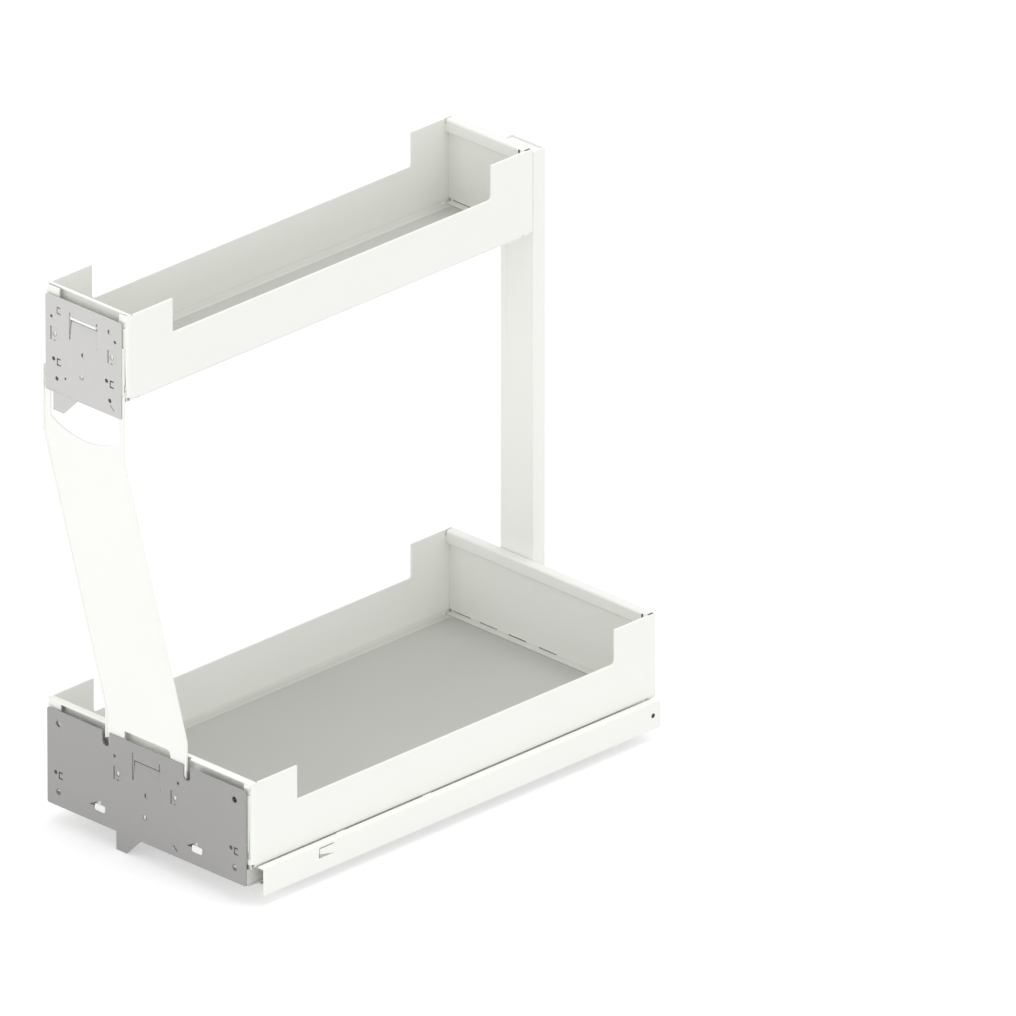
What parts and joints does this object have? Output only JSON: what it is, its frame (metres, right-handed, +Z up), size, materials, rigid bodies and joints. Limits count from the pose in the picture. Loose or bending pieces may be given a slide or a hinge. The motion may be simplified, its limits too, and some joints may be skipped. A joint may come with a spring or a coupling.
{
  "type": "pull-out cabinet organizer",
  "caption": "Pull-out organizer for a narrow base cabinet: an upper and a lower steel tray joined by a cranked front arm and a rear post, on full-extension ball runners with a damper.",
  "frame": {"origin": "middle of the base frame's four floor screws, on its underside, which lies on the cabinet floor", "axes": "+X is the width, to the right as the user faces the cabinet; +Y is the depth, towards the cabinet's back, so the trays pull out along -Y; +Z is up from the cabinet floor"},
  "size_m": [0.2655, 0.5228, 0.5172],
  "materials": {
    "white_coated_steel": "satin",
    "zinc_plated_steel": "satin",
    "grey_zinc_plate": "matte",
    "grey_mat": "matte",
    "bright_fasteners": "satin",
    "polished_steel": "polished",
    "dark_plastic": "matte",
    "white_plastic": "matte",
    "black_rubber": "matte"
  },
  "bodies": {
    "cabinet_frame": {"base_frame": "white_coated_steel", "left_cabinet_rail": "zinc_plated_steel", "right_cabinet_rail": "zinc_plated_steel", "cabinet_rail_rivets": "bright_fasteners", "damper_cylinder": "dark_plastic", "damper_clips": "dark_plastic", "rear_buffers": "black_rubber"},
    "middle_rails": {"left_middle_rail": "zinc_plated_steel", "right_middle_rail": "zinc_plated_steel"},
    "inner_cages": {"inner_ball_cages": "dark_plastic", "inner_balls": "polished_steel"},
    "outer_cages": {"outer_ball_cages": "dark_plastic", "outer_balls": "polished_steel"},
    "damper_plunger": {"damper_rod": "polished_steel", "damper_pad": "black_rubber"},
    "pull_out": {"left_tray_rail": "zinc_plated_steel", "right_tray_rail": "zinc_plated_steel", "tray_rail_rivets": "bright_fasteners", "damper_striker": "zinc_plated_steel", "lower_tray_shell": "white_coated_steel", "lower_front_wall": "white_coated_steel", "lower_rear_wall": "white_coated_steel", "lower_floor_mat": "grey_mat", "upper_tray_shell": "white_coated_steel", "upper_front_wall": "white_coated_steel", "upper_rear_wall": "white_coated_steel", "upper_floor_mat": "grey_mat", "lower_front_plate": "grey_zinc_plate", "upper_front_plate": "grey_zinc_plate", "height_adjusters": "white_plastic", "front_arm": "white_coated_steel", "rear_post": "white_coated_steel", "plate_spacers": "white_plastic", "plate_screws": "bright_fasteners", "arm_rivets": "bright_fasteners", "post_screws": "bright_fasteners"}
  },
  "joints": [
    {"name": "pull_out_slide", "type": "slide", "parent": "cabinet_frame", "child": "pull_out", "axis": [0, -1, 0], "range_m": [0, 0.45]},
    {"name": "middle_rail_slide", "type": "slide", "parent": "cabinet_frame", "child": "middle_rails", "axis": [0, -1, 0], "range_m": [0, 0.225]},
    {"name": "inner_cage_slide", "type": "slide", "parent": "cabinet_frame", "child": "inner_cages", "axis": [0, -1, 0], "range_m": [0, 0.1125]},
    {"name": "outer_cage_slide", "type": "slide", "parent": "cabinet_frame", "child": "outer_cages", "axis": [0, -1, 0], "range_m": [0, 0.3375]},
    {"name": "damper_rod_slide", "type": "slide", "parent": "cabinet_frame", "child": "damper_plunger", "axis": [0, -1, 0], "range_m": [0, 0.05]}
  ],
  "couplings": [
    {"joint": "middle_rail_slide", "follows": "pull_out_slide", "ratio": 0.5},
    {"joint": "inner_cage_slide", "follows": "pull_out_slide", "ratio": 0.25},
    {"joint": "outer_cage_slide", "follows": "pull_out_slide", "ratio": 0.75},
    {"joint": "damper_rod_slide", "follows": "pull_out_slide", "ratio": 0.11111}
  ]
}
